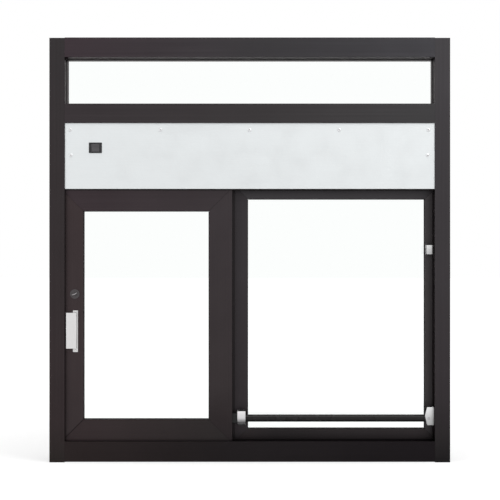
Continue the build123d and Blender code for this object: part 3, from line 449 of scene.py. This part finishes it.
turnLow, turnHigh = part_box("thumbturn")
turnCentre = ((turnLow.x + turnHigh.x) / 2, (turnLow.z + turnHigh.z) / 2)
dish = turnHigh.y - hub["dishFloor"]
hubTop = dish - hub["height"]
profile = [(0, hubTop)] + [(hub["radius"] - inset, hubTop + drop) for inset, drop in hub["edge"]]
profile += [(hub["radius"], dish), (0, dish)]
hubSurface = turnedSurface(turnCentre, profile, hub["columns"])
leverShape = leverSurface(turnCentre, hubTop + lever["footSunk"], turnLow.y + lever["topRise"])
for word, surface, finish in (("lever", leverShape, "lever"), ("hub", hubSurface, "lock")):
    piece = meshPiece("thumbturn_" + word, [surface], finishes[finish], "turn")
    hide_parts("thumbturn")
print("thumbturn made")

# Mitre joints: a matt black ribbon along each 45 degree cut of both leaves, painted shade that stands for the
# shadow in the joint's gap, 0.6 mm wide, or 1.8 mm where the sash's lower left joint has opened
seam = {"width": 0.0006, "openWidth": 0.0018, "proud": 0.00004, "outerInset": 0.001, "innerInset": 0.0006,
        "steps": 12, "columns": 8, "members": {"sash": 0.0705, "fixed": 0.0393}}


def seamSurface(start, end, faceY, out, width):
    # a thin ribbon: a half-ellipse section, width by proud, carried from start to end
    t = np.concatenate([[0], np.linspace(0, 1, seam["steps"]), [1]])
    size = np.concatenate([[0], np.ones(seam["steps"]), [0]])
    around = circle(seam["columns"])
    start, end = np.array(start), np.array(end)
    side = np.array([-(end - start)[1], (end - start)[0]]) / np.linalg.norm(end - start)
    middle = start + t[:, None] * (end - start)
    across = (width / 2 * size)[:, None] * np.cos(around)
    x = middle[:, :1] + across * side[0]
    z = middle[:, 1:] + across * side[1]
    y = faceY + out * (seam["proud"] * size)[:, None] * np.sin(around)
    return np.stack([x, y, z], axis=-1)


seams = []
for leaf, member in seam["members"].items():
    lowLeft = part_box(leaf + "_left_stile")[0]
    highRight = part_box(leaf + "_right_stile")[1]
    inner = member - seam["innerInset"]
    for x, inX in ((lowLeft.x, 1), (highRight.x, -1)):
        for z, inZ in ((lowLeft.z, 1), (highRight.z, -1)):
            start = (x + inX * seam["outerInset"], z + inZ * seam["outerInset"])
            end = (x + inX * inner, z + inZ * inner)
            opened = leaf == "sash" and inX > 0 and inZ > 0
            frontWidth = seam["openWidth" if opened else "width"]
            seams.append(seamSurface(start, end, lowLeft.y, -1, frontWidth))
            seams.append(seamSurface(start, end, highRight.y, 1, seam["width"]))
meshPiece("mitre_joints", seams, finishes["sealant"], "frame")
print("mitre joints made")

# Stage: a pale floor that keeps a soft shadow and glows to white further out, white behind, and
# soft lamps
stage = {"floorSize": 60.0, "floorTone": "#b8b8b8", "floorGlow": 0.66, "farGlow": 0.97, "nearM": 0.3,
         "farM": 2.6, "skyLevel": 0.30}
lamps = {
    "key": {"place": (2.2, -2.6, 2.8), "aim": (0.1, 0, 0.9), "size": 1.6, "power": 46},
    "fill": {"place": (-2.6, -2.8, 1.6), "aim": (0, 0, 0.7), "size": 2.0, "power": 19},
    "top": {"place": (0.2, -0.9, 3.4), "aim": (0, 0, 0.9), "size": 2.2, "power": 40},
}


def whiteForEyes(tree):
    # 1 for camera, glossy and transmission rays, else 0
    path = add(tree, "LightPath")
    first = add(tree, "Math", links=[(0, path, "Is Camera Ray"), (1, path, "Is Glossy Ray")], operation="ADD")
    both = [(0, first, 0), (1, path, "Is Transmission Ray")]
    return add(tree, "Math", links=both, operation="ADD", use_clamp=True)


world = bpy.data.worlds.new("studio")
bpy.context.scene.world = world
world.use_nodes = True
sky = world.node_tree
sky.nodes.clear()
level = spread(sky, whiteForEyes(sky), 0, stage["skyLevel"], 1.0, (0.0, 1.0))
backdrop = add(sky, "Background", {"Color": linear("#ffffff")}, links=[("Strength", level, 0)])
add(sky, "OutputWorld", links=[("Surface", backdrop, 0)])

floorMaterial, tree = newMaterial("studioFloor")
seen = whiteForEyes(tree)
spot = add(tree, "TexCoord")
reach = add(tree, "VectorMath", links=[(0, spot, "Object")], operation="LENGTH")
fade = spread(tree, reach, "Value", stage["floorGlow"], stage["farGlow"], (stage["nearM"], stage["farM"]))
glow = add(tree, "Math", links=[(0, seen, 0), (1, fade, 0)], operation="MULTIPLY")
paper = add(tree, "BsdfDiffuse", {"Color": linear(stage["floorTone"])})
light = add(tree, "Emission", links=[("Strength", glow, 0)])
finishMaterial(tree, add(tree, "AddShader", links=[(0, paper, 0), (1, light, 0)]))
floorMesh = bpy.data.meshes.new("floor")
half = stage["floorSize"] / 2
floorMesh.from_pydata([(-half, -half, 0), (half, -half, 0), (half, half, 0), (-half, half, 0)], [], [(0, 1, 2, 3)])
floorMesh.materials.append(floorMaterial)
floor = bpy.data.objects.new("floor", floorMesh)
bpy.context.scene.collection.objects.link(floor)


def softLamp(name, place, aim, size, power):
    lamp = bpy.data.lights.new(name, "AREA")
    lamp.shape = "SQUARE"
    lamp.size = size
    lamp.energy = power
    holder = bpy.data.objects.new(name, lamp)
    bpy.context.scene.collection.objects.link(holder)
    away = np.array(place) - np.array(aim)
    away = away / np.linalg.norm(away)
    holder.location = place
    holder.rotation_euler = (math.acos(away[2]), 0, math.atan2(away[1], away[0]) + math.pi / 2)


for name, lamp in lamps.items():
    softLamp(name, **lamp)

lens = bpy.data.cameras.new("camera")
lens.sensor_width = camera["sensor"]
lens.lens = camera["sensor"] * camera["distance"] * 1000 / (camera["pixels"] * camera["mmPerPixel"])
eye = bpy.data.objects.new("camera", lens)
bpy.context.scene.collection.objects.link(eye)
eye.location = (camera["x"], frontFace - camera["distance"], camera["height"])
eye.rotation_euler = (math.pi / 2, 0, 0)
bpy.context.scene.camera = eye
bpy.context.scene.view_settings.view_transform = "Standard"
print("stage, lamps and camera set")
